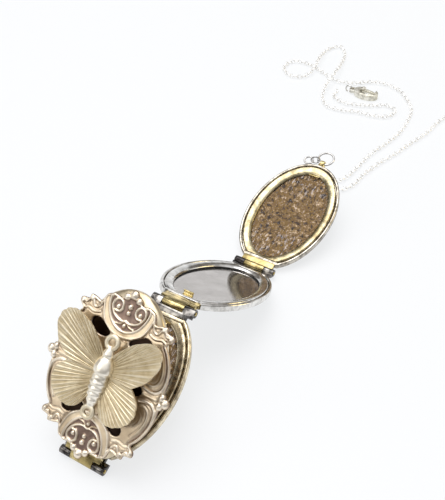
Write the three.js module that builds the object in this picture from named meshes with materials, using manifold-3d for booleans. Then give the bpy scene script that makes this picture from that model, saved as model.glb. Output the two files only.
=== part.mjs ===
// A folding picture locket: four oval leaves hinged end to end like an accordion, standing half unfolded.
// Leaf A is the domed front cover with its filigree and butterfly, B and C are the inner frames, and D is the
// back cover with the bail. Millimetres, +Z up. X runs along the unfolded leaves and Y along the hinge pins.
import * as THREE from "three";
import { mergeVertices } from "three/addons/utils/BufferGeometryUtils.js";
import Module from "manifold-3d";

const wasm = await Module();
wasm.setup();

// Leaves
const HALF_LENGTH = 17;
const HALF_WIDTH = 11;
const END_STRETCH = 1.15;
const LEAF_THICKNESS = 1.6;
const BACK_DEPTH = 2.4;
const COVER_HEIGHT = 2.5;
const FACE_GAP = 0.1;
const WALL = 0.75;
const FLOOR = 1.2;
const OVAL_STEPS = 32;
const POLE = HALF_WIDTH;

// Hinges
const AXIS_REACH = HALF_LENGTH + 0.75;
const END_CUT = 15.3;
const KNUCKLE_RADIUS = 0.9;
const BORE_RADIUS = 0.46;
const PIN_RADIUS = 0.4;
const HINGE_HALF_LENGTH = 5.3;
const KNUCKLE_SPLIT = 2.65;
const KNUCKLE_GAP = 0.06;
const STRAP_THICKNESS = 0.8;

// How far each leaf is tipped from level, in degrees
const TILT = { a: 47.9, b: 27.15, c: -26.2, d: 16.2 };
const AXIS_HEIGHT = KNUCKLE_RADIUS;

// Cover ornament
const PLATE_THICKNESS = 0.6;
const PLATE_TOP = COVER_HEIGHT + 0.03 + PLATE_THICKNESS;
const BODY_HEIGHT = 2.2;

// Bail, rings and chain
const EYE_REACH = 17.9;
const EYE_LEVEL = -0.9;
const LARGE_RING = 2.05;
const SMALL_RING = 1.15;
const CHAIN_DIAMETER = 1.4;
const CHAIN_LEVEL = 0.75;

const locket = new THREE.Group();
const group = new THREE.Group();

const silver = () => new THREE.MeshStandardMaterial({ color: 0xb5aea2, metalness: 1, roughness: 0.35 });
const darkSilver = () => new THREE.MeshStandardMaterial({ color: 0x8f867a, metalness: 1, roughness: 0.5 });
const goldTone = () => new THREE.MeshStandardMaterial({ color: 0xc0a860, metalness: 1, roughness: 0.35 });
const clear = () => new THREE.MeshStandardMaterial({ color: 0xd8dadc, roughness: 0.08 });
const printedCard = () => new THREE.MeshStandardMaterial({ color: 0x6e5a3c, roughness: 0.8 });

function addPiece(parent, name, geometry, material) {
  const mesh = new THREE.Mesh(geometry, material);
  mesh.name = name;
  parent.add(mesh);
  return mesh;
}

function solidOf(geometry) {
  const bare = geometry.clone();
  bare.deleteAttribute("normal");
  bare.deleteAttribute("uv");
  const merged = mergeVertices(bare, 1e-5);
  const vertProperties = new Float32Array(merged.attributes.position.array);
  const triVerts = new Uint32Array(merged.index.array);
  return new wasm.Manifold(new wasm.Mesh({ numProp: 3, vertProperties, triVerts }));
}

function geometryOf(solid) {
  const mesh = solid.getMesh();
  const geometry = new THREE.BufferGeometry();
  geometry.setAttribute("position", new THREE.BufferAttribute(mesh.vertProperties, 3));
  geometry.setIndex(new THREE.BufferAttribute(mesh.triVerts, 1));
  geometry.computeVertexNormals();
  return geometry;
}

// A body swept round the leaf's oval. The profile lists [inset from the rim, height] going up the outside.
// It either starts and ends at POLE, which makes a disc, or closes on itself, which makes a ring.
function ovalGeometry(profile) {
  const isDisc = profile[0][0] === POLE;
  const positions = [];
  const rowStart = profile.map(([inset, height]) => {
    const start = positions.length / 3;
    if (inset === POLE) {
      positions.push(0, 0, height);
      return start;
    }
    for (let step = 0; step < OVAL_STEPS; step += 1) {
      const angle = ((step + 0.5) / OVAL_STEPS) * 2 * Math.PI;
      const x = (HALF_LENGTH - END_STRETCH * inset) * Math.cos(angle);
      const y = (HALF_WIDTH - inset) * Math.sin(angle);
      positions.push(x, y, height);
    }
    return start;
  });
  const vertex = (row, step) => rowStart[row] + (profile[row][0] === POLE ? 0 : step % OVAL_STEPS);
  const index = [];
  const addTriangle = (a, b, c) => {
    if (a !== b && b !== c && c !== a) index.push(a, b, c);
  };
  const bands = isDisc ? profile.length - 1 : profile.length;
  for (let row = 0; row < bands; row += 1) {
    const above = (row + 1) % profile.length;
    for (let step = 0; step < OVAL_STEPS; step += 1) {
      addTriangle(vertex(row, step), vertex(row, step + 1), vertex(above, step + 1));
      addTriangle(vertex(row, step), vertex(above, step + 1), vertex(above, step));
    }
  }
  const geometry = new THREE.BufferGeometry();
  geometry.setAttribute("position", new THREE.BufferAttribute(new Float32Array(positions), 3));
  geometry.setIndex(index);
  return geometry;
}

const ovalSolid = (profile) => solidOf(ovalGeometry(profile));

function boxSolid(low, high) {
  const size = high.map((value, axis) => value - low[axis]);
  const geometry = new THREE.BoxGeometry(...size);
  geometry.translate(...low.map((value, axis) => (value + high[axis]) / 2));
  return solidOf(geometry);
}

// Cuts a piece of a leaf off square at its hinged ends
function trimEnds(solid, hingedEnds, reach) {
  const low = hingedEnds.includes("low") ? -reach : -30;
  const high = hingedEnds.includes("high") ? reach : 30;
  return solid.intersect(boxSolid([low, -30, -10], [high, 30, 10]));
}

// Leaf shells: a stamped pan whose front face, the side that shuts on its neighbour, is at height 0
const FRAME_OUTSIDE = [
  [POLE, -LEAF_THICKNESS], [0.4, -LEAF_THICKNESS], [0, -LEAF_THICKNESS + 0.35],
  [0, -0.35], [0.3, -FACE_GAP / 2], [POLE, -FACE_GAP / 2],
];
const FRAME_INSIDE = [[POLE, -FLOOR], [WALL, -FLOOR], [WALL, 1], [POLE, 1]];

const COVER_OUTSIDE = [
  [POLE, -COVER_HEIGHT], [3.2, -COVER_HEIGHT], [1.6, -COVER_HEIGHT + 0.15], [0.5, -1.9], [0, -1.3],
  [0, -0.35], [0.3, -FACE_GAP / 2], [POLE, -FACE_GAP / 2],
];
const COVER_INSIDE = [
  [POLE, -2.1], [3.6, -2.1], [2, -1.8], [2, -FLOOR], [WALL, -FLOOR], [WALL, 1], [POLE, 1],
];

const BACK_OUTSIDE = [
  [POLE, -BACK_DEPTH], [3.2, -BACK_DEPTH], [1.2, -2.1], [0, -1.3],
  [0, -0.35], [0.3, -FACE_GAP / 2], [POLE, -FACE_GAP / 2],
];
const BACK_INSIDE = [
  [POLE, -2], [3.8, -2], [2, -1.7], [2, -FLOOR], [WALL, -FLOOR], [WALL, 1], [POLE, 1],
];

function shellGeometry(outside, inside, hingedEnds) {
  const body = trimEnds(ovalSolid(outside), hingedEnds, END_CUT);
  const hollow = trimEnds(ovalSolid(inside), hingedEnds, END_CUT - WALL);
  return geometryOf(body.subtract(hollow));
}

// What a leaf holds, laid in its pan from the floor up with a hair of room between: card, clear window, retainer
const CARD = [[POLE, -1.17], [0.85, -1.17], [0.85, -1.01], [POLE, -1.01]];
const WINDOW = [[POLE, -0.98], [0.85, -0.98], [0.85, -0.71], [POLE, -0.71]];
const RETAINER = [[0.85, -0.68], [0.85, -0.3], [1.5, -0.08], [2.2, -0.1], [2.9, -0.45], [2.9, -0.68]];

function addLeafContents(parent, leaf, hingedEnds) {
  const reach = END_CUT - WALL - 0.1;
  const cut = (profile) => geometryOf(trimEnds(ovalSolid(profile), hingedEnds, reach));
  addPiece(parent, `leaf_${leaf}_picture_card`, cut(CARD), printedCard());
  addPiece(parent, `leaf_${leaf}_window`, cut(WINDOW), clear());
  addPiece(parent, `leaf_${leaf}_retainer`, cut(RETAINER), silver());
}

function cylinderAlongY(radius, from, to, sides) {
  const geometry = new THREE.CylinderGeometry(radius, radius, to - from, sides);
  geometry.rotateY(Math.PI / sides);
  geometry.translate(0, (from + to) / 2, 0);
  return solidOf(geometry);
}

// One side of a hinge: knuckles round the pin's axis and the strap that joins them to the leaf's cut end.
// The axis is the origin and the leaf lies towards -X. The strap lies below the axis, on its own leaf's side.
function knuckleGeometry(spans) {
  const strapEnd = -KNUCKLE_RADIUS - 0.12;
  const leafEnd = END_CUT - AXIS_REACH + 0.03;
  const top = -FACE_GAP;
  let solid = boxSolid([leafEnd, -4.2, top - STRAP_THICKNESS], [strapEnd, 4.2, top]);
  spans.forEach(([from, to]) => {
    solid = solid.add(cylinderAlongY(KNUCKLE_RADIUS, from, to, 16));
    solid = solid.add(boxSolid([strapEnd - 0.5, from, top - STRAP_THICKNESS], [0, to, top]));
  });
  const bore = cylinderAlongY(BORE_RADIUS, -8, 8, 12);
  return geometryOf(solid.subtract(bore));
}

const MIDDLE_SPAN = [[-KNUCKLE_SPLIT + KNUCKLE_GAP, KNUCKLE_SPLIT - KNUCKLE_GAP]];
const OUTER_SPANS = [[-HINGE_HALF_LENGTH, -KNUCKLE_SPLIT - KNUCKLE_GAP], [KNUCKLE_SPLIT + KNUCKLE_GAP, HINGE_HALF_LENGTH]];

// The pin stands a little proud of the outer knuckles, with its ends rounded over
function pinGeometry() {
  const end = HINGE_HALF_LENGTH + 0.25;
  const profile = [
    new THREE.Vector2(0, -end), new THREE.Vector2(0.28, -end + 0.06), new THREE.Vector2(PIN_RADIUS, -end + 0.2),
    new THREE.Vector2(PIN_RADIUS, end - 0.2), new THREE.Vector2(0.28, end - 0.06), new THREE.Vector2(0, end),
  ];
  return new THREE.LatheGeometry(profile, 10);
}

// Puts a hinge side on a leaf: end is +1 or -1 along the leaf, and level is the axis height in the leaf's frame.
// A front hinge keeps its strap below the axis, and a back hinge keeps it above.
function addKnuckles(leafGroup, name, spans, end, level, material) {
  const mesh = addPiece(leafGroup, name, knuckleGeometry(spans), material);
  const isBackHinge = level < -1;
  mesh.position.set(end * AXIS_REACH, 0, level);
  mesh.rotation.set(isBackHinge ? Math.PI : 0, 0, 0);
  if (end < 0) mesh.rotation.set(isBackHinge ? Math.PI : 0, 0, Math.PI);
  return mesh;
}

function addPin(leafGroup, name, end, level) {
  const mesh = addPiece(leafGroup, name, pinGeometry(), goldTone());
  mesh.position.set(end * AXIS_REACH, 0, level);
}

// Catches: a springy tab that stands up inside an inner frame, and the lip in a cover that it snaps behind
function addCatchTab(leafGroup, name, end) {
  const stem = boxSolid([12.55, -1.2, -0.66], [12.85, 1.2, 0.42]);
  const hook = boxSolid([12.55, -1.2, 0.2], [13.02, 1.2, 0.42]);
  const foot = boxSolid([12.55, -1.2, -0.66], [13.45, 1.2, -0.45]);
  const mesh = addPiece(leafGroup, name, geometryOf(stem.add(hook).add(foot)), goldTone());
  if (end < 0) mesh.rotation.z = Math.PI;
}

function addLatchLip(leafGroup, name) {
  const low = [13.12, -1.5, -0.66];
  const high = [13.38, 1.5, -0.2];
  addPiece(leafGroup, name, geometryOf(boxSolid(low, high)), goldTone());
}

const axisFront = FACE_GAP / 2;
const axisBack = -LEAF_THICKNESS - FACE_GAP / 2;

// A leaf's frame: origin at its centre on the front plane, X along the leaf, Z out of its front
function placeLeaf(axisPoint, tilt, endAtAxis, axisLevel) {
  const leafGroup = new THREE.Group();
  leafGroup.rotation.y = -THREE.MathUtils.degToRad(tilt);
  leafGroup.updateMatrix();
  const arm = new THREE.Vector3(endAtAxis * AXIS_REACH, 0, axisLevel).applyMatrix4(leafGroup.matrix);
  leafGroup.position.copy(axisPoint).sub(arm);
  leafGroup.updateMatrix();
  locket.add(leafGroup);
  return leafGroup;
}

function pointOnLeaf(leafGroup, x, y, z) {
  return new THREE.Vector3(x, y, z).applyMatrix4(leafGroup.matrix);
}

const axisAB = new THREE.Vector3(0, 0, AXIS_HEIGHT);
const leafB = placeLeaf(axisAB, TILT.b, -1, axisFront);
const axisBC = pointOnLeaf(leafB, AXIS_REACH, 0, axisBack);
const leafC = placeLeaf(axisBC, TILT.c, -1, axisBack);
const axisCD = pointOnLeaf(leafC, AXIS_REACH, 0, axisFront);
const leafD = placeLeaf(axisCD, TILT.d, -1, axisFront);

// Leaf A lies face down over B, so its frame is turned over and its front plane looks at B
const leafA = placeLeaf(axisAB, TILT.a, -1, -axisFront);
const leafAInside = new THREE.Group();
leafAInside.rotation.x = Math.PI;
leafA.add(leafAInside);

// Filigree plate: an openwork stamping that lies on the cover and overhangs its sides
function mirroredOutline(quarter) {
  const flip = (points, sx, sy) => points.map(([x, y]) => [sx * x, sy * y]);
  const backwards = (points) => [...points].reverse();
  return [
    ...quarter, ...backwards(flip(quarter, -1, 1)), ...flip(quarter, -1, -1), ...backwards(flip(quarter, 1, -1)),
  ];
}

// The outline from the end of the plate round to its side: crest, band, corner crown, side lobe
const PLATE_QUARTER = [
  [15.6, 1.9], [14.7, 2.6], [15, 4.2], [14.2, 5.9], [12.6, 6.4], [12.9, 8.2], [12.4, 10.3], [11, 11],
  [9.9, 9.9], [7.6, 11.3], [5, 12.4], [2.4, 12.7],
];
const BUBBLE = 0.95;

function discSolid(x, y, radius, bottom, top, sides) {
  const geometry = new THREE.CylinderGeometry(radius, radius, top - bottom, sides);
  geometry.rotateX(Math.PI / 2);
  geometry.translate(x, y, (bottom + top) / 2);
  return solidOf(geometry);
}

function prismSolid(points, bottom, top) {
  const shape = new THREE.Shape(points.map(([x, y]) => new THREE.Vector2(x, y)));
  const geometry = new THREE.ExtrudeGeometry(shape, { depth: top - bottom, bevelEnabled: false });
  geometry.translate(0, 0, bottom);
  return solidOf(geometry);
}

function filigreeGeometry() {
  const bottom = PLATE_TOP - PLATE_THICKNESS;
  let plate = prismSolid(mirroredOutline(PLATE_QUARTER), bottom, PLATE_TOP);
  [-1, 1].forEach((end) => {
    plate = plate.add(discSolid(end * 16.1, 0, BUBBLE, bottom, PLATE_TOP + 0.25, 12));
    plate = plate.add(discSolid(end * 15.3, 1.35, BUBBLE * 0.8, bottom, PLATE_TOP + 0.2, 10));
    plate = plate.add(discSolid(end * 15.3, -1.35, BUBBLE * 0.8, bottom, PLATE_TOP + 0.2, 10));
    plate = plate.add(discSolid(0.85, end * 12.6, BUBBLE * 0.8, bottom, PLATE_TOP + 0.2, 10));
    plate = plate.add(discSolid(-0.85, end * 12.6, BUBBLE * 0.8, bottom, PLATE_TOP + 0.2, 10));
    plate = plate.add(discSolid(0, end * 13.5, BUBBLE, bottom, PLATE_TOP + 0.25, 12));
  });
  // Openings between the two end cartouches and the butterfly, and inside the side lobes
  const opening = [[8.3, 1], [8.9, 4], [9, 6.6], [7.4, 6.8], [6.9, 3.6], [6.7, 1]];
  [[1, 1], [1, -1], [-1, 1], [-1, -1]].forEach(([sx, sy]) => {
    const turned = opening.map(([x, y]) => [sx * x, sy * y]);
    if (sx * sy < 0) turned.reverse();
    plate = plate.subtract(prismSolid(turned, 0, 9));
  });
  return geometryOf(plate);
}

// Butterfly: one casting of a rounded body, four veined wings and a loop at head and tail
const FORE_WING = [
  [0.2, 0.5], [2.4, 0.8], [4.6, 2.2], [6.6, 4.6], [8, 7.6], [8.5, 10.4], [7.7, 11.9], [5.4, 11.6], [2.4, 9.8], [0.5, 7.8],
];
const HIND_WING = [
  [0.4, 0.5], [0.4, 7.4], [-0.6, 8.9], [-2.6, 9.9], [-4.8, 10], [-7, 8.6], [-8.6, 6.2], [-8.8, 4.2], [-7.6, 2.4],
  [-5.6, 1], [-3.6, 0.5],
];
const WING_THICKNESS = 0.45;
const WING_LEVEL = PLATE_TOP + 1.35;
const FORE_LIFT = 13;

function wingSolid(outline, side, lift) {
  const points = outline.map(([x, y]) => [x, side * y]);
  const ordered = side > 0 ? points : points.reverse();
  const shape = new THREE.Shape(ordered.map(([x, y]) => new THREE.Vector2(x, y)));
  const geometry = new THREE.ExtrudeGeometry(shape, { depth: WING_THICKNESS, bevelEnabled: false });
  geometry.rotateX(side * THREE.MathUtils.degToRad(lift));
  geometry.translate(0, 0, WING_LEVEL);
  return solidOf(geometry);
}

function ringSolid(mean, wire, x, y, z) {
  const geometry = new THREE.TorusGeometry(mean, wire, 6, 16);
  geometry.translate(x, y, z);
  return solidOf(geometry);
}

function butterflyGeometry() {
  const bottom = PLATE_TOP + 0.03;
  const body = new THREE.SphereGeometry(1, 16, 10);
  body.scale(6.6, 1.55, 1.35);
  body.translate(-0.3, 0, bottom + BODY_HEIGHT - 1.35);
  const clip = boxSolid([-20, -20, bottom], [20, 20, 20]);
  let solid = solidOf(body).add(discSolid(0, 0, 1.3, bottom, WING_LEVEL, 12)).intersect(clip);
  [-1, 1].forEach((side) => {
    solid = solid.add(wingSolid(FORE_WING, side, FORE_LIFT));
    solid = solid.add(wingSolid(HIND_WING, side, 2));
  });
  solid = solid.add(ringSolid(1.25, 0.45, 6.6, 0, WING_LEVEL + 0.2));
  solid = solid.add(ringSolid(1.15, 0.45, -7.3, 0, WING_LEVEL + 0.2));
  return geometryOf(solid);
}

// Leaf A, the front cover
addPiece(leafAInside, "leaf_a_cover_shell", shellGeometry(COVER_OUTSIDE, COVER_INSIDE, ["low"]), silver());
addLeafContents(leafAInside, "a", ["low"]);
addKnuckles(leafAInside, "hinge_ab_middle_knuckle", MIDDLE_SPAN, -1, axisFront, goldTone());
addLatchLip(leafAInside, "leaf_a_latch_lip");
addPiece(leafA, "filigree_plate", filigreeGeometry(), darkSilver());
addPiece(leafA, "butterfly", butterflyGeometry(), silver());

// Leaf B, the inner frame that A shuts on
addPiece(leafB, "leaf_b_frame", shellGeometry(FRAME_OUTSIDE, FRAME_INSIDE, ["low", "high"]), silver());
addLeafContents(leafB, "b", ["low", "high"]);
addKnuckles(leafB, "hinge_ab_outer_knuckles", OUTER_SPANS, -1, axisFront, silver());
addPin(leafB, "hinge_ab_pin", -1, axisFront);
addKnuckles(leafB, "hinge_bc_outer_knuckles", OUTER_SPANS, 1, axisBack, silver());
addPin(leafB, "hinge_bc_pin", 1, axisBack);
addCatchTab(leafB, "leaf_b_catch_tab", 1);

// Leaf C, the inner frame that D shuts on
addPiece(leafC, "leaf_c_frame", shellGeometry(FRAME_OUTSIDE, FRAME_INSIDE, ["low", "high"]), silver());
addLeafContents(leafC, "c", ["low", "high"]);
addKnuckles(leafC, "hinge_bc_middle_knuckle", MIDDLE_SPAN, -1, axisBack, goldTone());
addKnuckles(leafC, "hinge_cd_outer_knuckles", OUTER_SPANS, 1, axisFront, silver());
addPin(leafC, "hinge_cd_pin", 1, axisFront);
addCatchTab(leafC, "leaf_c_catch_tab", -1);

// Leaf D, the back cover
addPiece(leafD, "leaf_d_back_shell", shellGeometry(BACK_OUTSIDE, BACK_INSIDE, ["low"]), silver());
addLeafContents(leafD, "d", ["low"]);
addKnuckles(leafD, "hinge_cd_middle_knuckle", MIDDLE_SPAN, -1, axisFront, goldTone());
addLatchLip(leafD, "leaf_d_latch_lip");

// The bail is an eye on the end of leaf D, with its hole along Y
function bailGeometry() {
  const eye = cylinderAlongY(1, -0.5, 0.5, 16);
  const foot = boxSolid([HALF_LENGTH + 0.04 - EYE_REACH, -0.9, -0.35], [0, 0.9, 0.35]);
  const hole = cylinderAlongY(0.5, -3, 3, 12);
  return geometryOf(eye.add(foot).intersect(boxSolid([HALF_LENGTH + 0.04 - EYE_REACH, -2, -2], [2, 2, 2])).subtract(hole));
}

const bail = addPiece(leafD, "bail", bailGeometry(), goldTone());
bail.position.set(EYE_REACH, 0, EYE_LEVEL);

// A large ring in the bail, and a link that ties a small ring to it. The chain runs through the small ring.
function addRing(name, mean, wire, centre, turn) {
  const mesh = addPiece(leafD, name, new THREE.TorusGeometry(mean, wire, 6, 20), silver());
  mesh.position.set(...centre);
  mesh.rotation.set(...turn);
}

addRing("large_jump_ring", LARGE_RING, 0.27, [EYE_REACH + LARGE_RING, 0, EYE_LEVEL], [0, 0, 0]);
addRing("connecting_link", 1.17, 0.18, [18.66, 2.38, EYE_LEVEL], [Math.PI / 2, Math.PI / 2 + Math.atan2(0.54, 1.19), 0]);
addRing("small_jump_ring", SMALL_RING, 0.22, [EYE_REACH, 4, EYE_LEVEL], [0, 0, 0]);

// Chain: two lengths that leave the small ring, drop to the surface behind leaf D and lie loose on it.
// The points are measured from the first hinge's axis. The first length ends in the clasp, and passes over
// itself once. The second ends in a plain ring.
const CLASP_SIDE_ROUTE = [
  [100.2, 5, 9], [100.2, 5.1, 6], [100.4, 5.2, 3], [101.6, 5, 1.1], [104, 3.4, CHAIN_LEVEL],
  [105.8, 1, CHAIN_LEVEL], [107.4, -1.2, CHAIN_LEVEL], [110.5, -2.5, CHAIN_LEVEL], [116.5, -3, CHAIN_LEVEL],
  [124, -3.5, CHAIN_LEVEL], [131, -5, CHAIN_LEVEL], [138, -6, CHAIN_LEVEL], [145.5, -5.5, CHAIN_LEVEL],
  [152, -4, CHAIN_LEVEL], [157, -0.5, CHAIN_LEVEL], [161, 4, CHAIN_LEVEL], [162.5, 9.5, CHAIN_LEVEL],
  [161, 14, CHAIN_LEVEL], [157.5, 18.5, CHAIN_LEVEL], [156.5, 24, CHAIN_LEVEL], [159, 30, CHAIN_LEVEL],
  [161.5, 36, CHAIN_LEVEL], [161, 41.5, CHAIN_LEVEL], [156, 42.5, CHAIN_LEVEL], [152, 38.5, CHAIN_LEVEL],
  [153.5, 34, CHAIN_LEVEL], [159, 33, 1.5], [163.5, 34, 2.1], [168, 35, 1.5], [174, 35.5, CHAIN_LEVEL],
  [178, 33, CHAIN_LEVEL], [174.5, 29.5, CHAIN_LEVEL], [165.5, 26.5, 1.6], [157, 25, 2.5], [150.5, 24.5, 1.6],
  [144.5, 22.5, CHAIN_LEVEL], [141, 19, CHAIN_LEVEL], [141, 14.5, CHAIN_LEVEL], [142.5, 9.5, CHAIN_LEVEL],
  [143, 4.5, CHAIN_LEVEL], [145, 0.5, CHAIN_LEVEL], [149, 0, CHAIN_LEVEL], [150.5, 3.5, CHAIN_LEVEL],
  [148, 7.5, CHAIN_LEVEL], [146, 12, CHAIN_LEVEL], [145.5, 16.5, CHAIN_LEVEL], [147.5, 20, CHAIN_LEVEL],
  [151, 20.6, CHAIN_LEVEL],
];
const RING_SIDE_ROUTE = [
  [100.6, 3.4, 8.2], [100.7, 3.3, 5], [101.1, 2.6, 2.2], [102, 1, 0.95], [103, -1, CHAIN_LEVEL],
  [104.2, -3.6, CHAIN_LEVEL], [107.5, -5.5, CHAIN_LEVEL], [114, -6, CHAIN_LEVEL], [121.5, -7.5, CHAIN_LEVEL],
  [128, -9.5, CHAIN_LEVEL], [135, -11, CHAIN_LEVEL], [142, -12.8, CHAIN_LEVEL], [149, -13.5, CHAIN_LEVEL],
  [156, -15, CHAIN_LEVEL], [162, -18.5, CHAIN_LEVEL], [164.5, -24.5, CHAIN_LEVEL], [161.5, -30, CHAIN_LEVEL],
  [155, -31.5, CHAIN_LEVEL], [148, -29.5, CHAIN_LEVEL], [141, -29, CHAIN_LEVEL], [135.5, -32.5, CHAIN_LEVEL],
  [135, -38.5, CHAIN_LEVEL], [140, -42, CHAIN_LEVEL], [147, -41, CHAIN_LEVEL], [154, -41.5, CHAIN_LEVEL],
  [160, -43.5, CHAIN_LEVEL],
];

function chainGeometry(route, steps) {
  const curve = new THREE.CatmullRomCurve3(route.map((point) => new THREE.Vector3(...point)), false, "centripetal");
  const section = new THREE.Shape();
  section.absarc(0, 0, CHAIN_DIAMETER / 2, 0, 2 * Math.PI);
  return new THREE.ExtrudeGeometry(section, { steps, curveSegments: 4, bevelEnabled: false, extrudePath: curve });
}

const chain = new THREE.Group();
addPiece(chain, "chain_clasp_side", chainGeometry(CLASP_SIDE_ROUTE, 62), silver());
addPiece(chain, "chain_ring_side", chainGeometry(RING_SIDE_ROUTE, 32), silver());

const END_RING = 1.6;
const endRing = addPiece(chain, "chain_end_ring", new THREE.TorusGeometry(END_RING, 0.3, 6, 16), silver());
endRing.position.set(162.3, -44.3, 0.31);

// Lobster clasp, lying on its side: a hooked body, a spring-loaded lever on a pin, and the ring that ties it on.
// Its own frame has the tail at the origin, the nose along X and the lever on the +Y side.
const CLASP_THICKNESS = 1.8;
const LEVER_PIVOT = [3.2, 1.55];

function ellipsePoints(centreX, halfX, halfY, count) {
  return Array.from({ length: count }, (_, step) => {
    const angle = (step / count) * 2 * Math.PI;
    return [centreX + halfX * Math.cos(angle), halfY * Math.sin(angle)];
  });
}

function claspBodyGeometry() {
  const half = CLASP_THICKNESS / 2;
  const outside = prismSolid(ellipsePoints(5.4, 3.9, 2.5, 28), -half, half);
  const tail = discSolid(0.9, 0, 1.1, -0.5, 0.5, 14).add(boxSolid([0.9, -0.8, -0.5], [2.4, 0.8, 0.5]));
  const eye = discSolid(0.75, 0, 0.55, -2, 2, 12);
  const hollow = prismSolid(ellipsePoints(5.7, 2.6, 1.3, 20), -2, 2);
  const leverSlot = boxSolid([2.1, 0.35, -0.5], [4.4, 4, 0.5]);
  const mouth = boxSolid([4.3, 0.3, -2], [8.05, 4, 2]);
  const bore = discSolid(...LEVER_PIVOT, 0.3, -2, 2, 10);
  const body = outside.add(tail).subtract(eye).subtract(hollow);
  return geometryOf(body.subtract(leverSlot).subtract(mouth).subtract(bore));
}

function claspLeverGeometry() {
  const outline = [
    [2.75, 1.1], [3.7, 0.95], [6, 1.05], [7.6, 0.6], [7.95, 1], [7.3, 1.65], [5.4, 2.1], [4.1, 2.25],
    [3.6, 3.3], [3, 3.4], [2.85, 2.4], [2.65, 1.9],
  ];
  const lever = prismSolid(outline, -0.4, 0.4);
  return geometryOf(lever.subtract(discSolid(...LEVER_PIVOT, 0.3, -2, 2, 10)));
}

const clasp = new THREE.Group();
clasp.position.set(153.4, 17.2, CLASP_THICKNESS / 2 + 0.02);
clasp.rotation.z = -Math.PI / 2;
chain.add(clasp);
addPiece(clasp, "clasp_body", claspBodyGeometry(), darkSilver());
addPiece(clasp, "clasp_lever", claspLeverGeometry(), darkSilver());
addPiece(clasp, "clasp_pin", geometryOf(discSolid(...LEVER_PIVOT, 0.24, -0.85, 0.85, 10)), silver());
const claspRing = addPiece(clasp, "clasp_ring", new THREE.TorusGeometry(1.15, 0.22, 6, 16), silver());
claspRing.position.set(-0.35, 0, 0);
claspRing.rotation.set(Math.PI / 2, 0, 0);

// The origin is at the middle of the locket's own box, on the surface it stands on. The chain follows it.
locket.updateMatrixWorld(true);
const extent = new THREE.Box3().setFromObject(locket, true);
const middle = extent.getCenter(new THREE.Vector3());
const standing = new THREE.Vector3(-middle.x, 0, -extent.min.z);
locket.position.copy(standing);
chain.position.set(standing.x, 0, 0);
group.add(locket, chain);

export default group;
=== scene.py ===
import math

import bmesh
import bpy
import numpy as np
from mathutils import Matrix, Quaternion, Vector, noise


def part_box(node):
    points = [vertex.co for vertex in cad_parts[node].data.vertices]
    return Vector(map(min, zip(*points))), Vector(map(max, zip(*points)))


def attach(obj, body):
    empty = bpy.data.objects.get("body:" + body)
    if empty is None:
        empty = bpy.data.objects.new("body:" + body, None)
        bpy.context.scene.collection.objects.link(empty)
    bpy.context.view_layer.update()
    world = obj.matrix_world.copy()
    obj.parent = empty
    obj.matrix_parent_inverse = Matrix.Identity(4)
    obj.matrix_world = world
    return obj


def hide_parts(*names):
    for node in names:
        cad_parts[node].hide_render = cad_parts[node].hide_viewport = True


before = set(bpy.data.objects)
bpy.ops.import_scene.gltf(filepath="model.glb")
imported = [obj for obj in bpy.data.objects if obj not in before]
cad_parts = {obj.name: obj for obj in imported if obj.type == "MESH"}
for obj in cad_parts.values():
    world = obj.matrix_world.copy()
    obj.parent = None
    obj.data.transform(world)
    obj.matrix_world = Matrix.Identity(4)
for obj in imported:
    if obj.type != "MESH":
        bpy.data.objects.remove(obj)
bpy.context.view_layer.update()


# ---- Camera, floor and light ----
# The locket stands half unfolded on a pale table, and is seen from above over the front cover's hinge. A broad soft
# light hangs over it, and two smaller ones at the sides warm the metal. The room's walls are darker than its ceiling.
MM = 0.001
CAMERA_LENS = 60.84
CAMERA_ROLL = math.radians(-1.29)
# From the front hinge's pin, in millimetres
CAMERA_PLACE = Vector((-66.58, -76.86, 136.89))
LOOK_PLACE = Vector((63.1, 7.93, 3.49))


def middle_of(node):
    low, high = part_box(node)
    return (low + high) / 2


FRONT_AXIS = middle_of("hinge_ab_pin")

camera_data = bpy.data.cameras.new("camera")
camera_data.lens = CAMERA_LENS
camera_data.clip_start = 0.01
camera_data.clip_end = 10
camera = bpy.data.objects.new("camera", camera_data)
bpy.context.scene.collection.objects.link(camera)
camera.location = FRONT_AXIS + CAMERA_PLACE * MM
aim = (FRONT_AXIS + LOOK_PLACE * MM - camera.location).to_track_quat("-Z", "Y")
camera.rotation_mode = "QUATERNION"
camera.rotation_quaternion = aim @ Quaternion((0, 0, 1), CAMERA_ROLL)
bpy.context.scene.camera = camera


def area_light(name, place, aim_at, size, power, colour):
    data = bpy.data.lights.new(name, "AREA")
    data.shape = "DISK"
    data.size = size
    data.energy = power
    data.color = colour
    lamp = bpy.data.objects.new(name, data)
    lamp.location = Vector(place)
    lamp.rotation_mode = "QUATERNION"
    lamp.rotation_quaternion = (Vector(aim_at) - Vector(place)).to_track_quat("-Z", "Y")
    bpy.context.scene.collection.objects.link(lamp)


area_light("soft_top", (0.1, 0.12, 0.62), (0.02, 0, 0), 0.65, 3.1, (1, 0.99, 0.98))
area_light("soft_left", (-0.45, 0.35, 0.4), (0, 0, 0.01), 0.45, 0.8, (1, 0.97, 0.9))
area_light("warm_right", (0.3, -0.34, 0.12), (0.02, 0, 0.01), 0.2, 0.3, (1, 0.8, 0.4))

bpy.context.scene.view_settings.view_transform = "Standard"
# The room's colour by how high it is looked at: the table's surroundings, the walls, and the ceiling
ROOM = [
    (0.1, (0.86, 0.88, 0.9)), (0.17, (0.2, 0.185, 0.17)), (0.3, (0.18, 0.165, 0.15)),
    (0.5, (0.42, 0.41, 0.4)), (0.78, (0.9, 0.9, 0.92)), (1.0, (0.95, 0.96, 1)),
]


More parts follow.
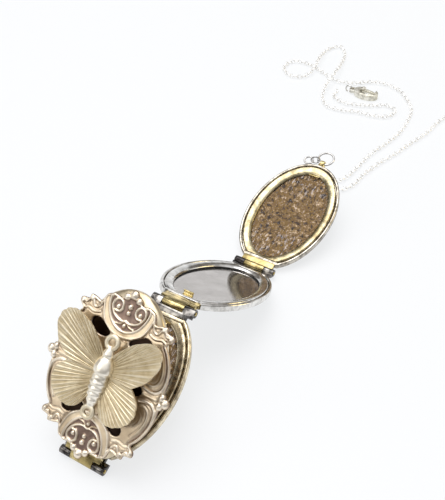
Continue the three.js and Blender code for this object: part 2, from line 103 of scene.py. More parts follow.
def add_ramp(nodes, links, source, stops):
    """A colour ramp from (position, colour) stops."""
    ramp = nodes.new("ShaderNodeValToRGB")
    first, last = ramp.color_ramp.elements
    first.position, first.color = stops[0][0], (*stops[0][1], 1)
    last.position, last.color = stops[-1][0], (*stops[-1][1], 1)
    for position, colour in stops[1:-1]:
        ramp.color_ramp.elements.new(position).color = (*colour, 1)
    links.new(source, ramp.inputs["Fac"])
    return ramp.outputs["Color"]


world = bpy.data.worlds.new("studio")
bpy.context.scene.world = world
world.use_nodes = True
nodes, links = world.node_tree.nodes, world.node_tree.links
outlook = nodes.new("ShaderNodeTexCoord")
split = nodes.new("ShaderNodeSeparateXYZ")
links.new(outlook.outputs["Generated"], split.inputs["Vector"])
links.new(add_ramp(nodes, links, split.outputs["Z"], ROOM), nodes["Background"].inputs["Color"])
nodes["Background"].inputs["Strength"].default_value = 1.0


def new_material(name):
    made = bpy.data.materials.new(name)
    made.use_nodes = True
    return made, made.node_tree.nodes, made.node_tree.links, made.node_tree.nodes["Principled BSDF"]


table_paint, _, _, shader = new_material("pale_table")
shader.inputs["Base Color"].default_value = (0.155, 0.156, 0.158, 1)
shader.inputs["Roughness"].default_value = 0.6
shader.inputs["Emission Color"].default_value = (0.97, 0.985, 1, 1)
shader.inputs["Emission Strength"].default_value = 0.745
bpy.ops.mesh.primitive_plane_add(size=6, location=(0, 0, -0.00002))
table = bpy.context.object
table.name = "table_top"
table.data.materials.append(table_paint)


# ---- Leaf frames and covers ----
# Four stamped oval pans of brass, silver plated and antiqued, with a rolled rim. The two inner frames are
# flat-backed and the covers are domed. Each is cut off square at its hinged ends, where a bar is soldered in.
HALF_LENGTH = 17
HALF_WIDTH = 11
END_STRETCH = 1.15
AXIS_REACH = 17.75
END_CUT = 15.3
FACE_LEVEL = 0.05
BACK_LEVEL = 1.65
BAR_DEPTH = 0.75
BAR_HALF_WIDTH = 4.6
BAR_BOTTOM = -1.45
BAR_TOP = -0.06
TILT = {"a": 47.9, "b": 27.15, "c": -26.2, "d": 16.2}
MIDDLE_AXIS = middle_of("hinge_bc_pin")
BACK_AXIS = middle_of("hinge_cd_pin")


def leaf_place(axis_point, tilt, axis_level):
    """The leaf's own frame: origin at the middle of its front plane, X along the leaf and Z out of the front."""
    turn = Matrix.Rotation(-math.radians(tilt), 4, "Y")
    arm = Matrix.Translation((AXIS_REACH, 0, -axis_level))
    return Matrix.Translation(axis_point) @ turn @ Matrix.Scale(MM, 4) @ arm


# The front cover's ornament is built with Z out of the dome, the other way up from its inside
COVER = leaf_place(FRONT_AXIS, TILT["a"], -FACE_LEVEL)
PLACE = {
    "a": COVER @ Matrix.Rotation(math.pi, 4, "X"),
    "b": leaf_place(FRONT_AXIS, TILT["b"], FACE_LEVEL),
    "c": leaf_place(MIDDLE_AXIS, TILT["c"], -BACK_LEVEL),
    "d": leaf_place(BACK_AXIS, TILT["d"], FACE_LEVEL),
}
BODY = {"a": "front_cover", "b": "frame_b", "c": "frame_c", "d": "back_cover"}
HINGED = {"a": (-1,), "b": (-1, 1), "c": (-1, 1), "d": (-1,)}


def multiply(nodes, links, first, second):
    blend = nodes.new("ShaderNodeMix")
    blend.data_type = "RGBA"
    blend.blend_type = "MULTIPLY"
    blend.inputs["Factor"].default_value = 1
    links.new(first, blend.inputs["A"])
    links.new(second, blend.inputs["B"])
    return blend.outputs["Result"]


def noise_texture(nodes, links, place, scale, detail, distortion=0.0):
    texture = nodes.new("ShaderNodeTexNoise")
    texture.inputs["Scale"].default_value = scale
    texture.inputs["Detail"].default_value = detail
    texture.inputs["Distortion"].default_value = distortion
    links.new(place, texture.inputs["Vector"])
    return texture.outputs["Fac"]


def metal(name, bright, dull, rough, grain=900, patina=0.0, hollows_and_shade=None):
    """Silver plate over brass, antiqued: bright where it is rubbed, dull in clouds, with darker patina in spots. For
    stamped pieces, colour stops are set by how high the relief stands, for patina in the hollows; on the front
    cover's dome they follow a painted shade mask instead, dark under the ornament."""
    made, nodes, links, shader = new_material(name)
    place = nodes.new("ShaderNodeTexCoord").outputs["Object"]
    cloud = noise_texture(nodes, links, place, grain * 0.35, 5)
    tone = add_ramp(nodes, links, cloud, ((0.36, dull), (0.62, bright)))
    if hollows_and_shade:
        height = nodes.new("ShaderNodeAttribute")
        height.attribute_name = "relief"
        wear_and_shade = nodes.new("ShaderNodeMath")
        wear_and_shade.operation = "MULTIPLY_ADD"
        wear_and_shade.inputs[1].default_value = 0.3
        links.new(noise_texture(nodes, links, place, grain * 0.8, 5), wear_and_shade.inputs[0])
        links.new(height.outputs["Fac"], wear_and_shade.inputs[2])
        colour = multiply(nodes, links, tone, add_ramp(nodes, links, wear_and_shade.outputs["Value"], hollows_and_shade))
    else:
        shade = (1 - patina,) * 3
        spots = noise_texture(nodes, links, place, grain * 0.9, 6)
        colour = multiply(nodes, links, tone, add_ramp(nodes, links, spots, ((0.4, shade), (0.54, (1, 1, 1)))))
    links.new(colour, shader.inputs["Base Color"])
    brushed = nodes.new("ShaderNodeMapping")
    brushed.inputs["Scale"].default_value = (1, 0.2, 1)
    links.new(place, brushed.inputs["Vector"])
    fine = noise_texture(nodes, links, brushed.outputs["Vector"], grain * 2.2, 3)
    gloss = nodes.new("ShaderNodeMapRange")
    gloss.inputs["To Min"].default_value = rough * 0.7
    gloss.inputs["To Max"].default_value = rough * 1.4
    links.new(fine, gloss.inputs["Value"])
    links.new(gloss.outputs["Result"], shader.inputs["Roughness"])
    scratch = nodes.new("ShaderNodeBump")
    scratch.inputs["Strength"].default_value = 0.05
    scratch.inputs["Distance"].default_value = 0.00002
    links.new(fine, scratch.inputs["Height"])
    links.new(scratch.outputs["Normal"], shader.inputs["Normal"])
    shader.inputs["Metallic"].default_value = 1
    return made


SILVER = metal("antique_silver", (0.6, 0.56, 0.49), (0.36, 0.32, 0.26), 0.2, patina=0.5)
POLISHED = metal("polished_silver", (0.82, 0.81, 0.79), (0.62, 0.6, 0.57), 0.14, patina=0.25)
BROWNED = metal("browned_plate", (0.82, 0.72, 0.52), (0.5, 0.41, 0.27), 0.24, patina=0.45)
# The dome is painted dark where the ornament covers it: painted shade for the shadow under the plate, seen through
# its openings
DOME_PAINTED_SHADE = ((0.2, (0.035, 0.025, 0.025)), (0.6, (0.12, 0.09, 0.08)), (1.05, (1, 1, 1)))
DOME = metal("browned_dome", (0.74, 0.64, 0.46), (0.42, 0.34, 0.22), 0.3, hollows_and_shade=DOME_PAINTED_SHADE)


def oval_sweep(profile, closed, steps=128):
    """Spins a profile of (inset from the rim, height) and draws the circle out to the leaf's oval."""
    bm = bmesh.new()
    line = [bm.verts.new((HALF_WIDTH - inset, 0, height)) for inset, height in profile]
    pairs = list(zip(line, line[1:])) + ([(line[-1], line[0])] if closed else [])
    edges = [bm.edges.new(pair) for pair in pairs]
    bmesh.ops.spin(
        bm, geom=line + edges, cent=(0, 0, 0), axis=(0, 0, 1), angle=2 * math.pi, steps=steps, use_merge=True,
    )
    bmesh.ops.remove_doubles(bm, verts=bm.verts, dist=1e-4)
    for vert in bm.verts:
        radius = math.hypot(vert.co.x, vert.co.y)
        if radius > 1e-3:
            vert.co.x *= (HALF_LENGTH - END_STRETCH * (HALF_WIDTH - radius)) / radius
    bmesh.ops.recalc_face_normals(bm, faces=bm.faces)
    return bm


def square_off(bm, reach, ends):
    """Cuts the oval off square at its hinged ends and closes the cut."""
    for end in ends:
        everything = bm.verts[:] + bm.edges[:] + bm.faces[:]
        bmesh.ops.bisect_plane(
            bm, geom=everything, plane_co=(end * reach, 0, 0), plane_no=(end, 0, 0), clear_outer=True,
        )
        open_edges = [e for e in bm.edges if e.is_boundary]
        bmesh.ops.holes_fill(bm, edges=open_edges, sides=0)
    bmesh.ops.recalc_face_normals(bm, faces=bm.faces)


def rounded_bar(bm, low, high, round_mm):
    """Adds a block with rounded edges to a bmesh."""
    low, high = Vector(low), Vector(high)
    seat = Matrix.Translation((low + high) / 2) @ Matrix.Diagonal((*(high - low), 1))
    made = bmesh.ops.create_cube(bm, size=1, matrix=seat)
    edges = {edge for vert in made["verts"] for edge in vert.link_edges}
    bmesh.ops.bevel(
        bm, geom=list(edges), offset=round_mm, offset_type="OFFSET", segments=3, profile=0.5,
        affect="EDGES", material=-1,
    )


def arc(centre, radius, start, stop, steps):
    """Profile points on part of a circle, in degrees from the inward direction."""
    angles = [math.radians(start + (stop - start) * n / steps) for n in range(steps + 1)]
    return [(centre[0] + radius * math.cos(a), centre[1] + radius * math.sin(a)) for a in angles]


def to_object(bm, name, material, smooth_angle):
    mesh = bpy.data.meshes.new(name)
    bm.to_mesh(mesh)
    bm.free()
    mesh.materials.append(material)
    mesh.shade_smooth()
    mesh.set_sharp_from_angle(angle=math.radians(smooth_angle))
    made = bpy.data.objects.new(name, mesh)
    bpy.context.scene.collection.objects.link(made)
    return made


def place_on_leaf(bm, leaf, name, finish, smooth_angle, node):
    """Finishes a piece that was drawn in a leaf's own frame."""
    bmesh.ops.transform(bm, matrix=PLACE[leaf], verts=bm.verts)
    made = to_object(bm, name, finish, smooth_angle)
    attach(made, BODY[leaf])
    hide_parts(node)


# Profiles are (inset from the rim, height), with the pan's front plane at 0
ROLLED_RIM = arc((0.36, -0.41), 0.36, 180, 20, 8)
PAN_INSIDE = [(0.74, -0.8), (0.75, -1.2), (11, -1.2)]
FRAME_PROFILE = [
    (11, -1.6), (2, -1.6), (0.35, -1.6), *arc((0.35, -1.25), 0.35, 270, 180, 4), *ROLLED_RIM, *PAN_INSIDE,
]
COVER_PROFILE = [
    (11, -2.5), (6, -2.5), (4.2, -2.5), (3.2, -2.48), (2.2, -2.42), (1.3, -2.26), (0.7, -1.98), (0.25, -1.65),
    (0, -1.25), *ROLLED_RIM, *PAN_INSIDE,
]
BACK_PROFILE = [
    (11, -2.4), (6, -2.4), (3.4, -2.39), (2.2, -2.33), (1.2, -2.12), (0.5, -1.75), (0.12, -1.5), (0, -1.25),
    *ROLLED_RIM, *PAN_INSIDE,
]
SHELLS = {
    "a": (COVER_PROFILE, "leaf_a_cover_shell", "front_cover_shell", DOME),
    "b": (FRAME_PROFILE, "leaf_b_frame", "inner_frame_b", BROWNED),
    "c": (FRAME_PROFILE, "leaf_c_frame", "inner_frame_c", POLISHED),
    "d": (BACK_PROFILE, "leaf_d_back_shell", "back_cover_shell", SILVER),
}
for leaf, (profile, node, name, finish) in SHELLS.items():
    bm = oval_sweep(profile, closed=False)
    square_off(bm, END_CUT, HINGED[leaf])
    for end in HINGED[leaf]:
        inner, outer = sorted((end * (END_CUT - BAR_DEPTH), end * (END_CUT - 0.01)))
        rounded_bar(bm, (inner, -BAR_HALF_WIDTH, BAR_BOTTOM), (outer, BAR_HALF_WIDTH, BAR_TOP), 0.12)
    # A painted shade mask: dark over the middle of the pan's back, where the ornament shades the front cover's dome,
    # rising to plain towards the rim. Only the dome's material reads it.
    painted_shade = bm.verts.layers.float.new("relief")
    for vert in bm.verts:
        reach = math.hypot(vert.co.x / HALF_LENGTH, vert.co.y / HALF_WIDTH)
        vert[painted_shade] = min(1, max(0, (reach - 0.8) / 0.12)) if vert.co.z < -1.3 else 1
    place_on_leaf(bm, leaf, name, finish, 35, node)


# ---- Picture cards ----
# A thin card lies on each pan's floor. The back cover's is a crinkled, varnished print in mottled brown and gold with
# pale flecks, here a plain pattern whose pale strokes are partly painted glints off the crinkles. Leaf C holds a
# bright foil backing and no print.
def mottled_card():
    made, nodes, links, shader = new_material("mottled_print")
    place = nodes.new("ShaderNodeTexCoord")
    centre = nodes.new("ShaderNodeMapping")
    centre.inputs["Location"].default_value = [-c for c in middle_of("leaf_d_picture_card")]
    links.new(place.outputs["Object"], centre.inputs["Vector"])
    cloud = nodes.new("ShaderNodeTexNoise")
    cloud.inputs["Scale"].default_value = 880
    cloud.inputs["Detail"].default_value = 7
    cloud.inputs["Roughness"].default_value = 0.7
    cloud.inputs["Distortion"].default_value = 0.8
    links.new(centre.outputs["Vector"], cloud.inputs["Vector"])
    mottle = add_ramp(nodes, links, cloud.outputs["Fac"], (
        (0.38, (0.008, 0.004, 0.003)), (0.45, (0.06, 0.028, 0.01)), (0.5, (0.26, 0.145, 0.014)),
        (0.545, (0.06, 0.03, 0.03)), (0.59, (0.34, 0.21, 0.05)), (0.65, (0.6, 0.48, 0.38)),
    ))
    # Pale strokes, stronger towards both ends of the card: partly the print's flecks, partly painted glints off the
    # crinkled varnish
    stroke_space = nodes.new("ShaderNodeMapping")
    stroke_space.inputs["Scale"].default_value = (700, 2600, 700)
    stroke_space.inputs["Rotation"].default_value = (0, 0, math.radians(18))
    links.new(centre.outputs["Vector"], stroke_space.inputs["Vector"])
    strokes = noise_texture(nodes, links, stroke_space.outputs["Vector"], 1, 4, distortion=0.8)
    thin = nodes.new("ShaderNodeMapRange")
    thin.inputs["From Min"].default_value = 0.58
    thin.inputs["From Max"].default_value = 0.66
    links.new(strokes, thin.inputs["Value"])
    split = nodes.new("ShaderNodeSeparateXYZ")
    links.new(centre.outputs["Vector"], split.inputs["Vector"])
    reach = nodes.new("ShaderNodeMath")
    reach.operation = "ABSOLUTE"
    links.new(split.outputs["X"], reach.inputs[0])
    band = nodes.new("ShaderNodeMapRange")
    band.inputs["From Min"].default_value = 0.0045
    band.inputs["From Max"].default_value = 0.0085
    band.inputs["To Min"].default_value = 0.15
    band.inputs["To Max"].default_value = 0.8
    links.new(reach.outputs["Value"], band.inputs["Value"])
    flecks_and_glints = nodes.new("ShaderNodeMath")
    flecks_and_glints.operation = "MULTIPLY"
    links.new(thin.outputs["Result"], flecks_and_glints.inputs[0])
    links.new(band.outputs["Result"], flecks_and_glints.inputs[1])
    pale = nodes.new("ShaderNodeMix")
    pale.data_type = "RGBA"
    pale.inputs["B"].default_value = (0.66, 0.6, 0.58, 1)
    links.new(flecks_and_glints.outputs["Value"], pale.inputs["Factor"])
    links.new(mottle, pale.inputs["A"])
    links.new(pale.outputs["Result"], shader.inputs["Base Color"])
    crinkle = nodes.new("ShaderNodeTexVoronoi")
    crinkle.feature = "DISTANCE_TO_EDGE"
    crinkle.inputs["Scale"].default_value = 1150
    links.new(centre.outputs["Vector"], crinkle.inputs["Vector"])
    folds = nodes.new("ShaderNodeBump")
    folds.inputs["Strength"].default_value = 0.7
    folds.inputs["Distance"].default_value = 0.0003
    links.new(crinkle.outputs["Distance"], folds.inputs["Height"])
    grain = nodes.new("ShaderNodeBump")
    grain.inputs["Strength"].default_value = 0.6
    grain.inputs["Distance"].default_value = 0.00015
    links.new(cloud.outputs["Fac"], grain.inputs["Height"])
    links.new(folds.outputs["Normal"], grain.inputs["Normal"])
    links.new(grain.outputs["Normal"], shader.inputs["Normal"])
    shader.inputs["Roughness"].default_value = 0.5
    shader.inputs["Specular IOR Level"].default_value = 0.2
    return made


PRINT = mottled_card()
FOIL = metal("foil_backing", (0.54, 0.51, 0.49), (0.46, 0.435, 0.415), 0.08, grain=500, patina=0.06)
CARD_PROFILE = [(11, -1.17), (5, -1.17), (0.86, -1.17), (0.86, -1.01), (5, -1.01), (11, -1.01)]
CARD_FINISH = {
    "a": (PRINT, "picture_card"), "b": (PRINT, "picture_card"), "c": (FOIL, "antique_silver"),
    "d": (PRINT, "picture_card"),
}
CONTENTS_CUT = 14.45
for leaf, (finish, slot) in CARD_FINISH.items():
    bm = oval_sweep(CARD_PROFILE, closed=False)
    square_off(bm, CONTENTS_CUT, HINGED[leaf])
    place_on_leaf(bm, leaf, f"insert_{leaf}", finish, 35, f"leaf_{leaf}_picture_card")


# ---- Clear windows ----
# A disc of clear acetate, punched from sheet and scuffed a little, covers each card. Its edge lies under the
# retainer, which holds it down.
def clear_sheet():
    made, nodes, links, shader = new_material("clear_acetate")
    place = nodes.new("ShaderNodeTexCoord")
    haze = noise_texture(nodes, links, place.outputs["Object"], 420, 4)
    rough = nodes.new("ShaderNodeMapRange")
    rough.inputs["To Min"].default_value = 0.02
    rough.inputs["To Max"].default_value = 0.1
    links.new(haze, rough.inputs["Value"])
    links.new(rough.outputs["Result"], shader.inputs["Roughness"])
    shader.inputs["Base Color"].default_value = (0.5, 0.5, 0.5, 1)
    shader.inputs["Alpha"].default_value = 0.02
    shader.inputs["Specular IOR Level"].default_value = 0.3
    return made


ACETATE = clear_sheet()
WINDOW_PROFILE = [
    (11, -0.97), (5, -0.97), (0.9, -0.97), (0.86, -0.93), (0.86, -0.76), (0.92, -0.71), (5, -0.71), (11, -0.71),
]
for leaf in "abcd":
    bm = oval_sweep(WINDOW_PROFILE, closed=False)
    square_off(bm, CONTENTS_CUT, HINGED[leaf])
    place_on_leaf(bm, leaf, f"pane_{leaf}", ACETATE, 35, f"leaf_{leaf}_window")


# ---- Retainers ----
# A broad plated ring with a rounded top, stamped and then sprung into each pan over the window. A dark gap parts it
# from the rolled rim.
RETAINER_PROFILE = [
    (0.95, -0.66), (0.9, -0.34), *arc((1.3, -0.38), 0.4, 170, 100, 4), (1.7, -0.04), (2.05, -0.09), (2.4, -0.21),
    (2.68, -0.37), (2.85, -0.52), (2.9, -0.66),
]
GILDED = metal("gilded_bezel", (0.58, 0.51, 0.34), (0.38, 0.31, 0.17), 0.26, patina=0.4)
for leaf, finish in {"a": SILVER, "b": BROWNED, "c": POLISHED, "d": GILDED}.items():
    bm = oval_sweep(RETAINER_PROFILE, closed=True, steps=160)
    square_off(bm, CONTENTS_CUT, HINGED[leaf])
    place_on_leaf(bm, leaf, f"bezel_{leaf}", finish, 50, f"leaf_{leaf}_retainer")


# ---- Hinges ----
# Each hinge is a drawn tube cut in three knuckles on a riveted pin. The middle knuckle's strap is soldered to one
# leaf and the outer two to its neighbour, and the warm brass shows where the strap is rubbed.
WARM = metal("warm_plate", (0.68, 0.56, 0.28), (0.42, 0.33, 0.14), 0.26, patina=0.35)
# The outer knuckles take a much darker copy of the antique silver: partly patina, partly painted shade for the shade
# they sit in at the hinges.
KNUCKLE_PATINA_AND_SHADE = metal("knuckle_patina_and_shade", (0.4, 0.38, 0.35), (0.05, 0.045, 0.045), 0.14, patina=0.75)


def tumbled(node, name, material, round_mm):
    """A merged copy of a CAD node with its sharp edges rounded over."""
    bm = bmesh.new()
    bm.from_mesh(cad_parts[node].data)
    bmesh.ops.remove_doubles(bm, verts=bm.verts, dist=1e-6)
    bmesh.ops.dissolve_limit(bm, angle_limit=math.radians(1), verts=bm.verts, edges=bm.edges)
    sharp = [e for e in bm.edges if len(e.link_faces) == 2 and e.calc_face_angle() > math.radians(40)]
    if sharp:
        bmesh.ops.bevel(
            bm, geom=sharp, offset=round_mm * MM, offset_type="OFFSET", segments=2, profile=0.5,
            affect="EDGES", material=-1, clamp_overlap=True,
        )
    made = to_object(bm, name, material, 32)
    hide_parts(node)
    return made


HINGE_SIDES = [
    ("hinge_ab_middle_knuckle", "front_cover", WARM, "gold_toned_silver"),
    ("hinge_ab_outer_knuckles", "frame_b", KNUCKLE_PATINA_AND_SHADE, "antique_silver"),
    ("hinge_bc_outer_knuckles", "frame_b", KNUCKLE_PATINA_AND_SHADE, "antique_silver"),
    ("hinge_bc_middle_knuckle", "frame_c", WARM, "gold_toned_silver"),
    ("hinge_cd_outer_knuckles", "frame_c", KNUCKLE_PATINA_AND_SHADE, "antique_silver"),
    ("hinge_cd_middle_knuckle", "back_cover", WARM, "gold_toned_silver"),
    ("hinge_ab_pin", "frame_b", WARM, "gold_toned_silver"),
    ("hinge_bc_pin", "frame_b", WARM, "gold_toned_silver"),
    ("hinge_cd_pin", "frame_c", WARM, "gold_toned_silver"),
]
for node, body, finish, slot in HINGE_SIDES:
    made = tumbled(node, node + "_finished", finish, 0.07)
    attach(made, body)


# ---- Catches and bail ----
# Small tabs and lips, pressed from the same plated brass and soldered on, and the eye on the back cover that the
# large ring hangs in.
SMALL_FITTINGS = [
    ("leaf_a_latch_lip", "front_cover"), ("leaf_b_catch_tab", "frame_b"), ("leaf_c_catch_tab", "frame_c"),
    ("leaf_d_latch_lip", "back_cover"), ("bail", "back_cover"),
]
for node, body in SMALL_FITTINGS:
    made = tumbled(node, node + "_finished", WARM, 0.08)
    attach(made, body)


# ---- Filigree plate ----
# An openwork stamping, silver plated, soldered over the cover: a cartouche of scrolls at each end, crowns at the
# corners, and paired loops and a trefoil of beads at each side. Patina lies in the hollows and the ridges are bright.
PLATE_TOP = 3.13
PLATE_BOTTOM = 2.53
GRID_LENGTH = 34.6
GRID_BREADTH = 29.4
RELIEF_PITCH = 0.14
HOLLOW = 0.15
FLAT = 0.41
RELIEF_RANGE = 0.43
PLATE_HOLLOWS = (
    (0.12, (0.07, 0.05, 0.055)), (0.32, (0.3, 0.24, 0.235)), (0.6, (0.68, 0.61, 0.53)), (0.85, (0.88, 0.82, 0.71)),
    (1.1, (1, 1, 1)),
)
PLATE_SILVER = metal("filigree_silver", (0.92, 0.84, 0.72), (0.72, 0.63, 0.52), 0.32, hollows_and_shade=PLATE_HOLLOWS)
# One quarter of the pattern, in x along the leaf and y across it, mirrored to the other three
PLATE_EDGE = [
    (15.75, 0), (15.75, 1.6), (14.9, 2.5), (15.05, 4.1), (14.3, 5.7), (12.75, 6.3), (12.95, 7.6), (13.1, 8.9),
    (12.2, 9.3), (11.9, 10.8), (10.9, 10.9), (9.9, 9.9), (8.6, 10.9), (7.0, 11.8), (5, 12.45), (3, 12.75),
    (1.9, 12.7), (0, 12.7),
]
OPENINGS = [
    [(7.45, 2.3), (8.3, 3.0), (9.1, 4.4), (9.6, 5.5), (9.3, 6.7), (8.3, 7.0), (7.2, 6.1), (6.6, 4.7), (6.7, 3.1)],
    [(-1, 6.3), (1, 6.3), (1.0, 7.6), (0, 8.3), (-1.0, 7.6)],
]
EDGE_BEADS = [(16.1, 0, 0.95), (15.3, 1.35, 0.76), (0, 13.5, 0.95), (0.85, 12.6, 0.76)]
RECESS = [
    (15.4, -1), (15.4, 1.8), (15.1, 3.9), (14.4, 4.3), (12.6, 4.35), (10.7, 3.4), (9.5, 2.1), (8.95, 0.9), (8.85, -1),
]
BAND = [
    (14.3, 4.6), (12.6, 4.35), (10.7, 3.4), (9.5, 2.1), (8.95, 0.9), (8.85, -1), (7.75, -1), (8.05, 1.8), (8.8, 3.4),
    (10.0, 4.6), (11.6, 5.3), (13.2, 5.7),
]
# Raised lines: points, half width, height over the plate's underside and depth of the groove beside them
RIDGES = [
    ([(13.2, 5.7), (11.6, 5.3), (10.0, 4.6), (8.8, 3.4), (8.05, 1.8), (7.75, 0)], 0.32, 0.52, 0.13),
    ([(15.0, 4.1), (14.3, 4.6), (12.6, 4.35), (10.7, 3.4), (9.5, 2.1), (8.95, 0.9), (8.85, 0)], 0.3, 0.56, 0.13),
    ([(10.9, 0), (10.7, 0.8), (10.9, 1.9), (11.6, 3.0), (12.9, 3.75), (14.1, 3.5), (14.5, 2.5), (14.0, 1.7),
      (13.0, 1.55), (12.2, 2.1), (12.2, 2.9)], 0.27, 0.56, 0.1),
    ([(9.9, 2.1), (10.1, 1.0), (10.9, 0.2)], 0.18, 0.42, 0.08),
    ([(14.5, 5.3), (13.1, 5.9), (11.6, 6.4), (11.15, 7.3), (12.0, 7.9), (12.8, 8.3), (12.1, 8.9), (11.4, 9.5),
      (11.8, 10.4), (11.0, 10.6)], 0.25, 0.53, 0.13),
    ([(10.6, 5.9), (10.2, 7.2), (10.5, 8.6), (10.2, 9.6)], 0.26, 0.5, 0.08),
    ([(9.5, 9.9), (8.0, 11.0), (6, 11.95), (4, 12.35), (2.2, 12.1), (1.25, 11.2), (1.0, 10.0), (1.3, 8.4)],
     0.36, 0.58, 0.1),
    ([(8.3, 9.4), (6.6, 10.5), (4.6, 11.1), (2.9, 10.9), (2.15, 10.0), (2.2, 8.8)], 0.27, 0.5, 0.05),
    ([(6.4, 9.1), (5.2, 9.8), (4.0, 9.8), (3.3, 9.1)], 0.24, 0.44, 0.04),
    ([(0, 8.6), (0, 11.6)], 0.3, 0.48, 0.05),
]
BEADS = [
    (16.1, 0, 0.85), (15.3, 1.38, 0.66), (13.75, 0, 0.55), (12.5, 0, 0.45), (9.95, 0, 0.42), (12.95, 2.55, 0.46),
    (14.75, 3.4, 0.36), (11.2, 10.3, 0.46), (12.3, 8.4, 0.42), (0.85, 12.6, 0.68), (0, 13.5, 0.86),
]


def soft_line(points, closed, steps):
    """The points of a smooth curve through a few given ones."""
    count = len(points)
    found = []
    for index in range(count if closed else count - 1):
        near = [index - 1, index, index + 1, index + 2]
        near = [k % count if closed else min(max(k, 0), count - 1) for k in near]
        a, b, c, d = (Vector(points[k]) for k in near)
        for step in range(steps):
            t = step / steps
            bend = 2 * a - 5 * b + 4 * c - d
            twist = 3 * b - a - 3 * c + d
            found.append(0.5 * (2 * b + (c - a) * t + bend * t**2 + twist * t**3))
    if not closed:
        found.append(Vector(points[-1]))
    return found


def close_points(points, closed=False, gap=0.05):
    """Points a short gap apart along the smooth curve through a few given ones."""
    line = soft_line(points, closed, 8)
    if closed:
        line.append(line[0])
    found = []
    for p, q in zip(line, line[1:]):
        parts = max(1, round((q - p).length / gap))
        found += [p.lerp(q, n / parts) for n in range(parts)]
    return np.array([tuple(p) for p in found + [line[-1]]])


def circle_points(x, y, radius, count=120):
    turn = np.linspace(0, 2 * math.pi, count, endpoint=False)
    return np.stack((x + radius * np.cos(turn), y + radius * np.sin(turn)), axis=1)


def distance_to(line, spots):
    """How far each spot is from the nearest point of a line, taken 50 points at a time to save memory."""
    best = np.full(len(spots), 99.0)
    for start in range(0, len(line), 50):
        part = line[start:start + 50]
        gaps = np.hypot(spots[:, None, 0] - part[None, :, 0], spots[:, None, 1] - part[None, :, 1])
        best = np.minimum(best, gaps.min(axis=1))
    return best


def is_within(ring, spots):
    """Which spots lie inside a closed ring, by how often a line from each crosses it."""
    x, y = spots[:, 0], spots[:, 1]
    odd = np.zeros(len(spots), bool)
    for (x0, y0), (x1, y1) in zip(ring, np.roll(ring, -1, axis=0)):
        if y0 != y1:
            odd ^= ((y0 > y) != (y1 > y)) & (x < (x1 - x0) * (y - y0) / (y1 - y0) + x0)
    return odd


edge_line = close_points(PLATE_EDGE)
edge_ring = np.concatenate((edge_line, [(-1, 12.7), (-1, -1), (15.75, -1)]))
opening_rings = [close_points(points, closed=True) for points in OPENINGS]
band_ring = close_points(BAND, closed=True)
recess_ring = close_points(RECESS, closed=True)


def is_plate(spots):
    quarter = np.abs(spots)
    solid = is_within(edge_ring, quarter)
    for x, y, radius in EDGE_BEADS:
        solid |= np.hypot(quarter[:, 0] - x, quarter[:, 1] - y) < radius
    for ring in opening_rings:
        solid &= ~is_within(ring, quarter)
    return solid


def plate_border():
    """Every point of one quarter's border, round the outside and the openings."""
    lines = [edge_line[~np.any([np.hypot(*(edge_line - (x, y)).T) < r for x, y, r in EDGE_BEADS], axis=0)]]
    for x, y, radius in EDGE_BEADS:
        circle = circle_points(x, y, radius)
        hidden = is_within(edge_ring, circle)
        for x2, y2, r2 in EDGE_BEADS:
            hidden |= np.hypot(circle[:, 0] - x2, circle[:, 1] - y2) < r2 - 0.01
        lines.append(circle[~hidden])
    return np.concatenate(lines + opening_rings)


border = plate_border()


def relief_height(spots):
    """How high the stamped surface stands over the plate's underside."""
    quarter = np.abs(spots)
    height = np.where(is_within(recess_ring, quarter), HOLLOW, FLAT)
    lip = distance_to(edge_line, quarter)
    height = np.maximum(height, HOLLOW + 0.36 * np.sqrt(np.clip(1 - ((lip - 0.26) / 0.26) ** 2, 0, 1)))
    edge_groove = 0.12 * np.exp(-(((lip - 0.66) / 0.14) ** 2))
    height = np.where(height <= FLAT, height - edge_groove * (height > HOLLOW), height)
    for points, width, top, groove in RIDGES:
        gap = distance_to(close_points(points), quarter)
        beside = groove * np.exp(-(((gap - width * 1.3) / (width * 0.35)) ** 2))
        height = np.where((height <= FLAT) & (height > HOLLOW), np.maximum(HOLLOW, height - beside), height)
        height = np.maximum(height, HOLLOW + (top - HOLLOW) * np.sqrt(np.clip(1 - (gap / width) ** 2, 0, 1)))
    height = np.where(is_within(band_ring, quarter), np.maximum(height, 0.43), height)
    for x, y, radius in BEADS:
        gap = np.hypot(quarter[:, 0] - x, quarter[:, 1] - y)
        height = np.maximum(height, 0.2 + min(0.55, radius) * np.sqrt(np.clip(1 - (gap / radius) ** 2, 0, 1)))
    return height * (0.6 + 0.4 * np.clip(distance_to(border, quarter) / 0.12, 0, 1))


def flat_places(items):
    return np.array([(item.co.x, item.co.y) for item in items])


bm = bmesh.new()
bmesh.ops.create_grid(
    bm, x_segments=round(GRID_LENGTH / RELIEF_PITCH), y_segments=round(GRID_BREADTH / RELIEF_PITCH), size=0.5,
)
bmesh.ops.scale(bm, vec=(GRID_LENGTH, GRID_BREADTH, 1), verts=bm.verts)
centres = np.array([tuple(face.calc_center_median().xy) for face in bm.faces])
outside = [face for face, kept in zip(bm.faces, is_plate(centres)) if not kept]
bmesh.ops.delete(bm, geom=outside, context="FACES")
rim = [vert for vert in bm.verts if vert.is_boundary]
for vert, spot in zip(rim, flat_places(rim)):
    gaps = np.hypot(*(border - np.abs(spot)).T)
    target = border[gaps.argmin()]
    if gaps.min() < 1.3 * RELIEF_PITCH:
        vert.co.x, vert.co.y = math.copysign(target[0], spot[0]), math.copysign(target[1], spot[1])
relief = bm.verts.layers.float.new("relief")
for vert, height in zip(bm.verts, relief_height(flat_places(bm.verts))):
    vert.co.z = height
    vert[relief] = (height - HOLLOW) / RELIEF_RANGE
under = bmesh.ops.extrude_face_region(bm, geom=bm.faces[:], use_keep_orig=True)["geom"]
for item in under:
    if isinstance(item, bmesh.types.BMVert):
        item.co.z = 0
bmesh.ops.recalc_face_normals(bm, faces=bm.faces)
